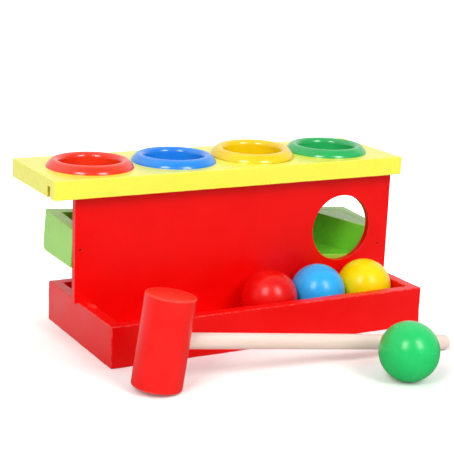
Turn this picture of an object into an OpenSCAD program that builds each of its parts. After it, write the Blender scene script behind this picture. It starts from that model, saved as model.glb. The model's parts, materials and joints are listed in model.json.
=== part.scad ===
// Ball pounding toy: a wooden pounding bench with four rings, a sloping trough, four balls and a mallet.
// The origin is the centre of the tray's underside. X runs along the bench, Y to its back, Z up.

/* [Balls] */
// Diameter of a ball
ball_d = 45; // [38:0.5:60]
// Gap between neighbouring balls in the tray
ball_gap = 0.7; // [0.3:0.1:2]
// Gap between the last ball and the tray's right wall
ball_wall_gap = 0.3; // [0.2:0.1:2]
// How far the balls in the tray lie behind the middle of the front bay
ball_back = 1.2; // [0:0.1:2]
// Distance of the loose ball's centre to the right of the tray's middle
loose_ball_x = 53.3; // [0:0.1:120]
// Distance of the loose ball's centre in front of the tray
loose_ball_ahead = 102.6; // [70:0.1:160]

/* [Tray] */
// Height of the tray's walls
tray_h = 32.5; // [24:0.5:48]
// Thickness of the tray's walls
tray_wall_t = 9; // [7:0.5:14]
// Thickness of the tray's floor
tray_floor_t = 5; // [3:0.5:8]
// Room in the front bay beside a ball, front to back
bay_play = 8.5; // [3:0.5:20]

/* [Front panel] */
// Thickness of the front panel
panel_t = 5.5; // [4:0.5:9]
// How far the panel's left ear stands past the tray
panel_proud_left = 4; // [0:0.5:10]
// How far the panel's right ear stands past the tray
panel_proud_right = 6.5; // [0:0.5:10]
// Play of the panel's foot between the tray's end walls, at each side
panel_foot_gap = 0.2; // [0.1:0.1:0.5]
// Exit hole's diameter, more than a ball's
exit_play = 11; // [4:0.5:18]
// Distance from the panel's right end to the middle of the exit hole
exit_from_end = 47.4; // [45:0.1:80]
// Height of the exit hole's middle above the middle of a ball that rolls out
exit_lift = 2; // [0:0.1:5]

/* [Trough] */
// Slope of the trough towards the exit hole, in degrees
trough_slope = 4.1; // [2:0.1:6]
// Height of the trough's boards
trough_h = 33; // [24:0.5:40]
// Thickness of the trough's end and back boards
trough_wall_t = 10; // [7:0.5:14]
// Thickness of the trough's floor
trough_floor_t = 5; // [3:0.5:8]
// Room in the trough beside a ball, front to back
trough_play = 4; // [2:0.5:12]
// How much shorter the trough is than the front panel
trough_short = 3; // [0:0.5:10]
// How far the trough's middle stands left of the panel's middle
trough_left = 2; // [0:0.5:4]
// Gap between the tray's rim and the trough's lowest edge
trough_rim_gap = 6.8; // [2:0.1:30]
// Radius of the rounded lower back corner of the trough's ends
trough_corner_r = 6; // [2:0.5:8]
// Fall of the trough's rim towards the front panel, in degrees
trough_rim_fall = 3.4; // [0:0.1:6]
// Length of the deflector block along the back of the trough
deflector_back = 34.5; // [20:0.5:45]
// Length of the deflector block along the front of the trough
deflector_front = 7; // [1:0.5:18]

/* [Top board] */
// Thickness of the top board
top_t = 15; // [11:0.5:20]
// How far the top board reaches past the front panel's left end
top_over_left = 20.5; // [2:0.5:30]
// How far the top board reaches past the front panel's right end
top_over_right = 4; // [2:0.5:30]
// How far the top board reaches in front of the panel
top_over_front = 9; // [4:0.5:20]
// How far the top board reaches behind the rear board
top_over_back = 11.5; // [4:0.5:20]
// Depth of the grooves under the top board
groove_depth = 9; // [5:0.5:10]
// Room between a ball in the trough's high end and the ring above it
drop_play = 4.5; // [3:0.1:20]

/* [Rear board] */
// Thickness of the rear board
rear_t = 6; // [4:0.5:9]
// Length of the rear board
rear_len = 180; // [80:1:220]
// Height of the rear board's lower edge above the table
rear_foot_z = 6; // [0:0.5:15]
// Play of the front panel and the rear board in their grooves, at each side
groove_gap = 0.1; // [0.05:0.05:0.3]

/* [Rings] */
// Number of rings in the row
ring_count = 4; // [4:1:4]
// How much wider than a ball a ring's mouth is
ring_mouth_play = 2.6; // [1:0.2:5]
// How much narrower than a ball a ring's lip is
ring_squeeze = 1.4; // [0.4:0.2:3]
// Width of a ring's flange, from its mouth to its rim
ring_flange_w = 10.6; // [8:0.1:14]
// Height of a ring above the top board
ring_h = 6.2; // [5:0.1:9]
// Radius of the rounding at the foot of the flange's flank
ring_edge_r = 5.5; // [3:0.1:6]
// Lean of the flank from upright where it meets the top board, in degrees
ring_edge_lean = 12; // [0:1:20]
// Radius of the flange's crest
ring_crest_r = 4.2; // [1.2:0.1:4.4]
// Wall of the ring's sleeve below its mouth
ring_sleeve_t = 2.7; // [2:0.1:4]
// How much the sleeve's outside narrows towards its foot, on the radius
ring_draft = 0.6; // [0.2:0.1:1]
// Play of the ring's sleeve in the top board's hole, on the radius
ring_fit = 0.5; // [0.3:0.05:0.8]
// How far a ring's sleeve reaches below the top board
ring_tail = 3; // [2:0.1:4]
// Gap between neighbouring rings
ring_gap = 3.7; // [2:0.1:30]
// Distance from an end ring's rim to the end of the top board
ring_end_margin = 13.3; // [4:0.1:40]
// How far the row of rings lies in front of the top board's middle
ring_forward = 2.3; // [0:0.1:4]
// How far the row of rings lies to the left of the top board's middle
ring_left = 1.3; // [0:0.1:3]
// Lift of the yellow ring, which has worked up at one side, in degrees
ring_lift = 2.1; // [0:0.1:3]
// Turn of the yellow ring's lifted side from straight back towards the right, in degrees
ring_lift_turn = 31; // [0:1:90]

/* [Mallet] */
// Diameter of the mallet's head
head_d = 37.2; // [30:0.2:50]
// Length of the mallet's head
head_len = 68; // [50:1:90]
// Radius of the head's edges
head_edge_r = 1.2; // [1:0.1:5]
// Lean of the head towards the handle, out of square, in degrees
head_lean = 0.7; // [0:0.1:2]
// Diameter of the handle
handle_d = 11.8; // [9:0.1:16]
// Length of the handle out of the head
handle_len = 228; // [150:0.1:260]
// Radius of the edge of the handle's blunt end
handle_edge_r = 2.8; // [1:0.1:4]
// Depth of the handle's blind hole in the head
handle_socket = 28; // [20:0.5:32]
// Play of the handle in the head, on the radius
handle_fit = 0.05; // [0.03:0.01:0.1]
// Distance of the head's middle to the left of the tray's middle
mallet_x = 120.7; // [60:0.1:160]
// Distance of the head's middle in front of the tray
mallet_ahead = 49.1; // [40:0.1:100]
// Turn of the mallet on the table, in degrees
mallet_turn = -1.9; // [-6:0.1:6]

/* [Nails] */
// Diameter of a brad
brad_d = 1.6; // [1.2:0.1:2]
// Length of a brad
brad_len = 22; // [18:1:30]
// Diameter of a nail's head
nail_head_d = 2.6; // [2.2:0.1:4]
// Thickness of a nail's head
nail_head_t = 0.8; // [0.5:0.1:1.2]
// Depth to which a nail's head is punched in
nail_sunk = 0.6; // [0.3:0.1:1]
// How far the nails in the trough's ends sit below the middle of its boards
trough_nail_low = 1.2; // [0:0.1:4]
// Play of a nail in its hole, on the radius
nail_fit = 0.05; // [0.03:0.01:0.1]
// Height of the lower brad in each of the tray's corners
tray_brad_low = 11; // [8:0.5:14]
// Height of the upper brad in each of the tray's corners
tray_brad_high = 24; // [18:0.5:26]
// Distance between the brads that hold the tray's floor
tray_floor_brad_pitch = 92; // [60:1:110]
// How far the lower brads in the trough's corners sit below the middle of its boards
trough_brad_low = 4; // [0:0.5:6]
// How far the upper brads in the trough's corners sit above the middle of its boards
trough_brad_high = 8; // [5:0.5:11]
// Distance of the brads in the trough's floor from the panel and from the back board
trough_floor_brad_edge = 12; // [6:0.5:16]
// Distance of the near brad behind the deflector block from the trough's right end
deflector_brad_near = 10.5; // [8:0.5:14]
// Distance of the far brad behind the deflector block from the trough's right end
deflector_brad_far = 20; // [16:0.5:22]
// Distance of the rear board's nails from its ends
rear_nail_edge = 30; // [10:1:60]

/* [Hidden] */
$fn = 96;

// Paint colours
red_paint = "#F02222";
yellow_paint = "#FBF04A";
green_paint = "#9AD672";
red_plastic = "#F8301F";
blue_plastic = "#2F8CF0";
yellow_plastic = "#FBD616";
green_plastic = "#2FB862";
red_ball_paint = "#E31F1F";
blue_ball_paint = "#37A3F5";
yellow_ball_paint = "#FCDC08";
green_ball_paint = "#2FD873";
bare_wood = "#EFD5B4";
steel = "#9A9A9C";

// Overlap that lets a cut break through a face
cut = 1;

// Ring row and the lengths that follow from it
ball_r = ball_d / 2;
ring_mouth_r = ball_r + ring_mouth_play / 2;
ring_lip_r = ball_r - ring_squeeze / 2;
ring_rim_r = ring_mouth_r + ring_flange_w;
ring_sleeve_r = ring_mouth_r + ring_sleeve_t;
ring_pitch = 2 * ring_rim_r + ring_gap;
top_len = (ring_count - 1) * ring_pitch + 2 * ring_rim_r + 2 * ring_end_margin;
panel_len = top_len - top_over_left - top_over_right;
tray_len = panel_len - panel_proud_left - panel_proud_right;

// Places along the bench
tray_left = -tray_len / 2;
tray_right = tray_len / 2;
panel_left = tray_left - panel_proud_left;
panel_right = tray_right + panel_proud_right;
panel_mid = (panel_left + panel_right) / 2;
top_left = panel_left - top_over_left;
ring_mid = top_left + top_len / 2 - ring_left;
exit_x = panel_right - exit_from_end;
exit_d = ball_d + exit_play;

// Places from the front to the back
front_bay = ball_d + bay_play;
trough_inside = ball_d + trough_play;
tray_depth = tray_wall_t + front_bay + panel_t + trough_inside + trough_wall_t;
tray_front = -tray_depth / 2;
tray_back = tray_depth / 2;
panel_front = tray_front + tray_wall_t + front_bay;
panel_back = panel_front + panel_t;
trough_inner_back = panel_back + trough_inside;
rear_back = tray_back + rear_t;
top_front = panel_front - top_over_front;
top_depth = rear_back + top_over_back - top_front;
ring_y = top_front + top_depth / 2 - ring_forward;

// The trough's own frame: its middle, with its length along a line that falls to the right
trough_len = panel_len - trough_short;
trough_x = panel_mid - trough_left;
trough_z = tray_h + trough_rim_gap + trough_len / 2 * sin(trough_slope) + trough_h / 2 * cos(trough_slope);
trough_half = trough_len / 2;
trough_bed = trough_floor_t - trough_h / 2;

// Height of the trough's bed at a distance along it, and at a place along the bench
function bed_z(along) = trough_z - along * sin(trough_slope) + trough_bed * cos(trough_slope);
function along_at(x) = (x - trough_x - trough_bed * sin(trough_slope)) / cos(trough_slope);

// Heights of the top board and the exit hole
bed_high_z = bed_z(trough_wall_t - trough_half);
top_z = bed_high_z + ball_d + drop_play + ring_tail;
exit_z = bed_z(along_at(exit_x)) + ball_r + exit_lift;
panel_top_z = top_z + groove_depth - groove_gap;

// Nails and brads
brad_r = brad_d / 2;
hole_r = brad_r + nail_fit;
pit_r = nail_head_d / 2 + nail_fit;
tray_brad_zs = [tray_brad_low, tray_brad_high];
tray_brad_ends = [tray_left + tray_wall_t / 2, tray_right - tray_wall_t / 2];
tray_floor_brad_xs = [-tray_floor_brad_pitch, 0, tray_floor_brad_pitch];
trough_corner_brad_hs = [-trough_brad_low, trough_brad_high];
trough_floor_brad_ys = [panel_back + trough_floor_brad_edge, trough_inner_back - trough_floor_brad_edge];
deflector_brad_alongs = [
    trough_half - trough_wall_t - deflector_brad_near,
    trough_half - trough_wall_t - deflector_brad_far
];
rear_nail_xs = [rear_nail_edge - rear_len / 2, rear_len / 2 - rear_nail_edge];
rear_nail_tray_z = tray_h / 2;
// Depth of a nail's hole: its pit, its head and its shank
nail_hole_len = nail_sunk + brad_len;

// The mallet rests on its head's lower edge and on the lower edge of its handle's end. Both edges are round:
// mallet_up and mallet_out lie between the middles of the two roundings
head_r = head_d / 2;
handle_r = handle_d / 2;
handle_reach = head_r + handle_len - handle_edge_r;
handle_edge_low = handle_r - handle_edge_r;
head_edge_out = head_r - head_edge_r;
head_edge_down = head_len / 2 - head_edge_r;
mallet_up = head_edge_out * sin(head_lean) + head_edge_down * cos(head_lean) - handle_edge_low;
mallet_out = handle_reach - head_edge_out * cos(head_lean) + head_edge_down * sin(head_lean);
mallet_span = norm([mallet_up, mallet_out]);
mallet_tilt = acos((handle_edge_r - head_edge_r) / mallet_span) - atan2(mallet_out, mallet_up);
mallet_z = handle_edge_r + handle_reach * sin(mallet_tilt) + handle_edge_low * cos(mallet_tilt);
mallet_y = tray_front - mallet_ahead;

// A board given by its lowest and highest corners
module board(low, high) {
    translate(low) cube(high - low);
}

// Moves a piece from the trough's own frame to its place: X along the trough, Z up from its middle
module in_trough() {
    translate([trough_x, 0, trough_z])
        rotate([0, trough_slope, 0])
            children();
}

// Holes and brads that run along Y, from a face at y towards dir (1 or -1)
module along_y(y, dir, r, length) {
    translate([0, y, 0])
        rotate([-90 * dir, 0, 0])
            cylinder(r = r, h = length);
}

// A brad whose head is flush with the face at y
module brad_y(y, dir) {
    along_y(y, dir, brad_r, brad_len);
}

// The hole for that brad
module brad_hole_y(y, dir) {
    along_y(y - dir * cut, dir, hole_r, brad_len + cut);
}

// A nail with a small flat head, punched in below the face at y
module nail_y(y, dir) {
    along_y(y + dir * nail_sunk, dir, nail_head_d / 2, nail_head_t);
    along_y(y + dir * nail_sunk, dir, brad_r, brad_len);
}

// The hole for that nail, with the pit that its head leaves
module nail_hole_y(y, dir) {
    along_y(y - dir * cut, dir, pit_r, cut + nail_sunk + nail_head_t);
    along_y(y - dir * cut, dir, hole_r, cut + nail_hole_len);
}

// Places of the brads in the tray's corners, for the wall at the front or at the back
module at_tray_corner_brads() {
    for (x = tray_brad_ends, z = tray_brad_zs)
        translate([x, 0, z])
            children();
}

// Places of the brads that hold the tray's floor
module at_tray_floor_brads() {
    for (x = tray_floor_brad_xs)
        translate([x, 0, tray_floor_t / 2])
            children();
}

// Places of the nails through the panel into the trough's ends
module at_trough_nails() {
    for (side = [-1, 1])
        in_trough()
            translate([side * (trough_half - trough_wall_t / 2), 0, -trough_nail_low])
                children();
}

// Places of the brads behind the deflector block
module at_deflector_brads() {
    for (along = deflector_brad_alongs)
        in_trough()
            translate([along, 0, 0])
                children();
}

// Places of the rear board's nails: two in the tray's wall and two in the trough's back board
module at_rear_board_nails() {
    for (x = rear_nail_xs) {
        translate([x, 0, rear_nail_tray_z])
            children();
        in_trough()
            translate([(x - trough_x) / cos(trough_slope), 0, 0])
                children();
    }
}

// Brads along the trough, through one of its ends: side is -1 for the left end and 1 for the right end
module trough_end_brad(side, y, h, r, length, past) {
    translate([side * (trough_half + past), y, h])
        rotate([0, -90 * side, 0])
            cylinder(r = r, h = length + past);
}

// The brads in one of the trough's corners
module trough_corner_brads_at(side, r, past) {
    for (h = trough_corner_brad_hs)
        trough_end_brad(side, trough_inner_back + trough_wall_t / 2, h, r, brad_len, past);
}

// The brads through one of the trough's ends into its floor
module trough_floor_brads_at(side, r, past) {
    for (y = trough_floor_brad_ys)
        trough_end_brad(side, y, (trough_floor_t - trough_h) / 2, r, brad_len, past);
}

module tray_floor() {
    color(red_paint)
        difference() {
            board([tray_left + tray_wall_t, tray_front + tray_wall_t, 0],
                  [tray_right - tray_wall_t, tray_back - tray_wall_t, tray_floor_t]);
            at_tray_floor_brads() {
                brad_hole_y(tray_front, 1);
                brad_hole_y(tray_back, -1);
            }
        }
}

module tray_front_wall() {
    color(red_paint)
        difference() {
            board([tray_left, tray_front, 0], [tray_right, tray_front + tray_wall_t, tray_h]);
            at_tray_corner_brads() brad_hole_y(tray_front, 1);
            at_tray_floor_brads() brad_hole_y(tray_front, 1);
        }
}

module tray_back_wall() {
    color(red_paint)
        difference() {
            board([tray_left, tray_back - tray_wall_t, 0], [tray_right, tray_back, tray_h]);
            at_tray_corner_brads() brad_hole_y(tray_back, -1);
            at_tray_floor_brads() brad_hole_y(tray_back, -1);
            at_rear_board_nails() nail_hole_y(rear_back, -1);
        }
}

// One of the tray's end walls, from x0 to x1, between the front and back walls
module tray_end_wall(x0, x1) {
    color(red_paint)
        difference() {
            board([x0, tray_front + tray_wall_t, 0], [x1, tray_back - tray_wall_t, tray_h]);
            at_tray_corner_brads() {
                brad_hole_y(tray_front, 1);
                brad_hole_y(tray_back, -1);
            }
        }
}

module tray_left_wall() {
    tray_end_wall(tray_left, tray_left + tray_wall_t);
}

module tray_right_wall() {
    tray_end_wall(tray_right - tray_wall_t, tray_right);
}

// The panel's ears stand on the tray's end walls, and its foot on the tray's floor
module front_panel() {
    foot_x = tray_right - tray_wall_t - panel_foot_gap;
    color(red_paint)
        difference() {
            union() {
                board([panel_left, panel_front, tray_h], [panel_right, panel_back, panel_top_z]);
                board([-foot_x, panel_front, tray_floor_t], [foot_x, panel_back, tray_h + cut]);
            }
            translate([exit_x, panel_front - cut, exit_z])
                rotate([-90, 0, 0])
                    cylinder(d = exit_d, h = panel_t + 2 * cut);
            at_trough_nails() nail_hole_y(panel_front, 1);
        }
}

// The rear board is nailed to the tray and the trough, and its top edge goes into a stopped groove
module rear_board() {
    color(red_paint)
        difference() {
            board([-rear_len / 2, tray_back, rear_foot_z], [rear_len / 2, rear_back, panel_top_z]);
            at_rear_board_nails() nail_hole_y(rear_back, -1);
        }
}

module trough_floor() {
    color(green_paint)
        in_trough()
            difference() {
                board([trough_wall_t - trough_half, panel_back, -trough_h / 2],
                      [trough_half - trough_wall_t, trough_inner_back, trough_bed]);
                for (side = [-1, 1])
                    trough_floor_brads_at(side, hole_r, cut);
            }
}

module trough_back_wall() {
    color(green_paint)
        difference() {
            in_trough()
                difference() {
                    board([trough_wall_t - trough_half, trough_inner_back, -trough_h / 2],
                          [trough_half - trough_wall_t, tray_back, trough_h / 2]);
                    above_trough_rim();
                    for (side = [-1, 1])
                        trough_corner_brads_at(side, hole_r, cut);
                }
            at_rear_board_nails() nail_hole_y(rear_back, -1);
            at_deflector_brads() brad_hole_y(tray_back, -1);
        }
}

// What is cut off above the trough's rim, in the trough's own frame
module above_trough_rim() {
    translate([-trough_half - cut, tray_back, trough_h / 2])
        rotate([trough_rim_fall, 0, 0])
            translate([0, -tray_depth, 0])
                cube([trough_len + 2 * cut, tray_depth + cut, trough_h]);
}

// The outline of a trough end seen along the trough: front to back, and up, with one rounded corner
module trough_end_outline() {
    low = -trough_h / 2;
    corner_y = tray_back - trough_corner_r;
    corner_h = low + trough_corner_r;
    translate([panel_back, corner_h])
        square([tray_back - panel_back, trough_h - trough_corner_r]);
    translate([panel_back, low])
        square([corner_y - panel_back, trough_h]);
    translate([corner_y, corner_h])
        circle(r = trough_corner_r);
}

// One of the trough's ends: side is -1 for the left end and 1 for the right end
module trough_end(side) {
    low_x = side < 0 ? -trough_half : trough_half - trough_wall_t;
    color(green_paint)
        difference() {
            in_trough()
                difference() {
                    translate([low_x, 0, 0])
                        rotate([90, 0, 90])
                            linear_extrude(trough_wall_t)
                                trough_end_outline();
                    above_trough_rim();
                    trough_corner_brads_at(side, hole_r, cut);
                    trough_floor_brads_at(side, hole_r, cut);
                }
            at_trough_nails() nail_hole_y(panel_front, 1);
        }
}

module trough_left_end() {
    trough_end(-1);
}

module trough_right_end() {
    trough_end(1);
}

// The deflector block seen from above: its slanted face runs from the trough's back to its front right
module deflector_plan() {
    end_x = trough_half - trough_wall_t;
    polygon([
        [end_x, panel_back],
        [end_x, trough_inner_back],
        [end_x - deflector_back, trough_inner_back],
        [end_x - deflector_front, panel_back]
    ]);
}

// The block whose slanted face turns a rolling ball towards the exit hole, flush with the trough's rim
module deflector_block() {
    color(green_paint)
        difference() {
            in_trough()
                difference() {
                    translate([0, 0, trough_bed])
                        linear_extrude(trough_h - trough_floor_t)
                            deflector_plan();
                    above_trough_rim();
                }
            at_deflector_brads() brad_hole_y(tray_back, -1);
        }
}

// Puts a piece at ring number i of the row, on the top board's upper face
module at_ring(i) {
    translate([ring_mid + (i - (ring_count - 1) / 2) * ring_pitch, ring_y, top_z + top_t])
        children();
}

module top_board() {
    color(yellow_paint)
        difference() {
            board([top_left, top_front, top_z], [top_left + top_len, top_front + top_depth, top_z + top_t]);
            board([top_left - cut, panel_front - groove_gap, top_z - cut],
                  [top_left + top_len + cut, panel_back + groove_gap, top_z + groove_depth]);
            board([-rear_len / 2 - groove_gap, tray_back - groove_gap, top_z - cut],
                  [rear_len / 2 + groove_gap, rear_back + groove_gap, top_z + groove_depth]);
            for (i = [0 : ring_count - 1])
                at_ring(i)
                    translate([0, 0, -top_t - cut])
                        cylinder(r = ring_sleeve_r + ring_fit, h = top_t + 2 * cut);
        }
}

// Half of a ring cut through its axis: a flange with a leaning flank and a round crest, and a sleeve that
// narrows a little outside and whose throat narrows to the lip
module ring_profile() {
    rim = [ring_rim_r - ring_edge_r * cos(ring_edge_lean), -ring_edge_r * sin(ring_edge_lean)];
    crest = [ring_mouth_r + ring_crest_r, ring_h - ring_crest_r];
    slope = crest - rim;
    // Direction square to the common tangent of the rim's and the crest's circles
    lean = atan2(slope[1], slope[0]) - acos((ring_edge_r - ring_crest_r) / norm(slope));
    out = [cos(lean), sin(lean)];
    foot = -top_t - ring_tail;
    difference() {
        union() {
            translate(rim)
                circle(r = ring_edge_r);
            translate(crest)
                circle(r = ring_crest_r);
            polygon([rim, rim + ring_edge_r * out, crest + ring_crest_r * out, crest]);
        }
        translate([ring_lip_r, -2 * ring_edge_r])
            square([ring_rim_r, 2 * ring_edge_r]);
    }
    polygon([
        crest,
        [ring_mouth_r, crest[1]],
        [ring_lip_r, foot],
        [ring_sleeve_r - ring_draft, foot],
        [ring_sleeve_r, 0]
    ]);
}

// Ring number i of the row, lifted at one side by an angle about the opposite point of its rim
module ring(i, paint, lift) {
    color(paint)
        at_ring(i)
            rotate([0, 0, -ring_lift_turn])
                translate([0, -ring_rim_r, 0])
                    rotate([lift, 0, 0])
                        translate([0, ring_rim_r, 0])
                            rotate_extrude()
                                ring_profile();
}

module ring_red() {
    ring(0, red_plastic, 0);
}

module ring_blue() {
    ring(1, blue_plastic, 0);
}

module ring_yellow() {
    ring(2, yellow_plastic, ring_lift);
}

module ring_green() {
    ring(3, green_plastic, 0);
}

// Ball number i of the row in the front bay, counted from the tray's right wall
module bay_ball(i, paint) {
    x = tray_right - tray_wall_t - ball_wall_gap - ball_r - i * (ball_d + ball_gap);
    color(paint)
        translate([x, panel_front - front_bay / 2 + ball_back, tray_floor_t + ball_r])
            sphere(d = ball_d);
}

module ball_red() {
    bay_ball(2, red_ball_paint);
}

module ball_blue() {
    bay_ball(1, blue_ball_paint);
}

module ball_yellow() {
    bay_ball(0, yellow_ball_paint);
}

module ball_green() {
    color(green_ball_paint)
        translate([loose_ball_x, tray_front - loose_ball_ahead, ball_r])
            sphere(d = ball_d);
}

// Moves a piece from the mallet's own frame to its place on the table: Z along the head, X along the handle
module in_mallet() {
    translate([-mallet_x, mallet_y, mallet_z])
        rotate([0, 0, mallet_turn])
            rotate([0, mallet_tilt, 0])
                children();
}

// Half of the mallet's head cut through its axis, with rounded edges
module head_profile() {
    translate([0, -head_len / 2])
        square([head_edge_out, head_len]);
    translate([0, -head_edge_down])
        square([head_r, 2 * head_edge_down]);
    for (side = [-1, 1])
        translate([head_edge_out, side * head_edge_down])
            circle(r = head_edge_r);
}

module mallet_head() {
    color(red_paint)
        in_mallet()
            difference() {
                rotate([0, head_lean, 0])
                    rotate_extrude()
                        head_profile();
                translate([head_r - handle_socket, 0, 0])
                    rotate([0, 90, 0])
                        cylinder(r = handle_r + handle_fit, h = handle_socket + cut);
            }
}

// Half of the handle cut through its axis, from its foot in the head to its blunt end
module handle_profile() {
    length = handle_reach - head_r + handle_socket;
    square([handle_r, length]);
    square([handle_edge_low, length + handle_edge_r]);
    translate([handle_edge_low, length])
        circle(r = handle_edge_r);
}

module mallet_handle() {
    color(bare_wood)
        in_mallet()
            translate([head_r - handle_socket, 0, 0])
                rotate([0, 90, 0])
                    rotate_extrude()
                        handle_profile();
}

module tray_corner_brads() {
    color(steel)
        at_tray_corner_brads() {
            brad_y(tray_front, 1);
            brad_y(tray_back, -1);
        }
}

module tray_floor_brads() {
    color(steel)
        at_tray_floor_brads() {
            brad_y(tray_front, 1);
            brad_y(tray_back, -1);
        }
}

module trough_corner_brads() {
    color(steel)
        in_trough()
            for (side = [-1, 1])
                trough_corner_brads_at(side, brad_r, 0);
}

module trough_floor_brads() {
    color(steel)
        in_trough()
            for (side = [-1, 1])
                trough_floor_brads_at(side, brad_r, 0);
}

module deflector_brads() {
    color(steel)
        at_deflector_brads() brad_y(tray_back, -1);
}

module trough_nails() {
    color(steel)
        at_trough_nails() nail_y(panel_front, 1);
}

module rear_board_nails() {
    color(steel)
        at_rear_board_nails() nail_y(rear_back, -1);
}

tray_floor();
tray_front_wall();
tray_back_wall();
tray_left_wall();
tray_right_wall();
front_panel();
rear_board();
trough_floor();
trough_back_wall();
trough_left_end();
trough_right_end();
deflector_block();
top_board();
ring_red();
ring_blue();
ring_yellow();
ring_green();
ball_red();
ball_blue();
ball_yellow();
ball_green();
mallet_head();
mallet_handle();
tray_corner_brads();
tray_floor_brads();
trough_corner_brads();
trough_floor_brads();
deflector_brads();
trough_nails();
rear_board_nails();
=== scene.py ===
"""Looks of a wooden ball pounding toy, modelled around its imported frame.

Every length is in metres. X runs along the bench, Y towards its back and Z up.
"""

import json
import logging
import math
from collections.abc import Sequence
from dataclasses import dataclass, field
from enum import Enum
from functools import cache

import bmesh
import bpy
from mathutils import Matrix, Vector, noise

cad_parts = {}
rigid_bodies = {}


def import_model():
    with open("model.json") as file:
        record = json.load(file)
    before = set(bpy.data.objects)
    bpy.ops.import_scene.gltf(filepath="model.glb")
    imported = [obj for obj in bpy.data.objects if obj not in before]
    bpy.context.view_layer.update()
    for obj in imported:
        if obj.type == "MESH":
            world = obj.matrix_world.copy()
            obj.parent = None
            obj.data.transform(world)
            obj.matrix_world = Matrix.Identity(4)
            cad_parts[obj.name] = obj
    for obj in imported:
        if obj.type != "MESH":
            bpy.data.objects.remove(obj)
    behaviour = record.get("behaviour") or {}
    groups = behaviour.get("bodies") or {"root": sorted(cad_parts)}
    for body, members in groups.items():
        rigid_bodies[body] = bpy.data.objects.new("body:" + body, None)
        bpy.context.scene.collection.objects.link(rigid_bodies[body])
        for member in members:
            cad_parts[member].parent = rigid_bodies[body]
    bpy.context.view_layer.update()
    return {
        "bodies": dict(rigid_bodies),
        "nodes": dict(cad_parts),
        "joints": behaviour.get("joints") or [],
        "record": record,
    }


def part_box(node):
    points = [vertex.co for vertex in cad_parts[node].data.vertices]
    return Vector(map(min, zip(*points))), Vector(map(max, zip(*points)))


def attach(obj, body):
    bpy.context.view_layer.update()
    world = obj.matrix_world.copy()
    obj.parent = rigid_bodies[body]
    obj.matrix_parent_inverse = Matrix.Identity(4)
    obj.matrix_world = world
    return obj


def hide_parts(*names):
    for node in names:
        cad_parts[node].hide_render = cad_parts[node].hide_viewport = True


LOG = logging.getLogger("pounding_toy")
MM = 0.001

Point = tuple[float, float]
Spot = tuple[float, float, float]
Colour = tuple[float, float, float, float]
# The spot where a fixing goes in, and the direction that it is driven in
Drive = tuple[Spot, Spot]
Values = dict[str | int, object]
Socket = bpy.types.NodeSocket
Material = bpy.types.Material
Piece = bpy.types.Object
Mesh = bmesh.types.BMesh

# Edges that turn by more than this are eased, and drawn sharp where they stay
SHARP_ANGLE = math.radians(35)
# Distance between the points of a board's outline
OUTLINE_STEP = 4 * MM
# Steps across an eased edge
EASE_STEPS = 3
# Steps round a glob of paint
GLOB_SIDES = 32
# What may lie outside a groove and still count as its wall
SLACK = 0.01 * MM
# Features per metre of the unevenness that sanding leaves
WOBBLE_SCALE = 130.0
# Seed of its pattern, so that every run gives the same boards
WOBBLE_SEED = 7
# Names of the face attributes that mark a piece's eased edges, and the walls of a board's cuts and hollows,
# which get painted shade
EASED = "eased"
SHADE_IN_CUTS = "sawn"
BACKWARDS = (0.0, 1.0, 0.0)
FORWARDS = (0.0, -1.0, 0.0)
WHITE = (1.0, 1.0, 1.0, 1.0)
UNIT = (0.0, 1.0)
# The range that a noise pattern mostly keeps to
CLOUDY = (0.3, 0.7)
# Spread of the numbers that make a pattern differ from piece to piece
SEEDS = 40.0


def linear(code: str) -> Colour:
    """Turn a display colour, such as #F21C1A, into the linear values that shaders take."""
    shares = [int(code[i:i + 2], 16) / 255 for i in (1, 3, 5)]
    return (*(c / 12.92 if c <= 0.04045 else ((c + 0.055) / 1.055) ** 2.4 for c in shares), 1.0)


def arc(centre: Point, radius: float, start: float, end: float, steps: int) -> list[Point]:
    """Points at even steps along an arc, from one angle in degrees to another, both ends included."""
    angles = [math.radians(start + (end - start) * i / steps) for i in range(steps + 1)]
    return [(centre[0] + radius * math.cos(a), centre[1] + radius * math.sin(a)) for a in angles]


def rectangle(length: float, width: float) -> list[Point]:
    """The four corners of a rectangle, anticlockwise from the origin."""
    return [(0.0, 0.0), (length, 0.0), (length, width), (0.0, width)]


def spread(first: float, last: float, count: int) -> list[float]:
    """Numbers at even steps, from the first to the last."""
    return [first + (last - first) * i / max(1, count - 1) for i in range(count)]


def middle(node: str) -> Vector:
    """The middle of a node's box."""
    low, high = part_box(node)
    return (low + high) / 2


class Facing(Enum):
    """The way that a board's broad face looks, as the directions of the board's own U, V and W."""

    FRONT = ((1, 0, 0), (0, 0, 1), (0, -1, 0))
    SIDE = ((0, 1, 0), (0, 0, 1), (1, 0, 0))
    UP = ((1, 0, 0), (0, 1, 0), (0, 0, 1))

    def spans(self, size: Vector) -> list[float]:
        """Length, width and thickness of a board, from its extents along X, Y and Z."""
        return [abs(size.dot(Vector(axis))) for axis in self.value]

    def place(self, low: Vector, high: Vector) -> Matrix:
        """The matrix from the own frame of a board, given by two corners, to its place."""
        corner = [b if away < 0 else a for a, b, away in zip(low, high, self.value[2])]
        return Matrix.Translation(corner) @ Matrix(self.value).transposed().to_4x4()


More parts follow.
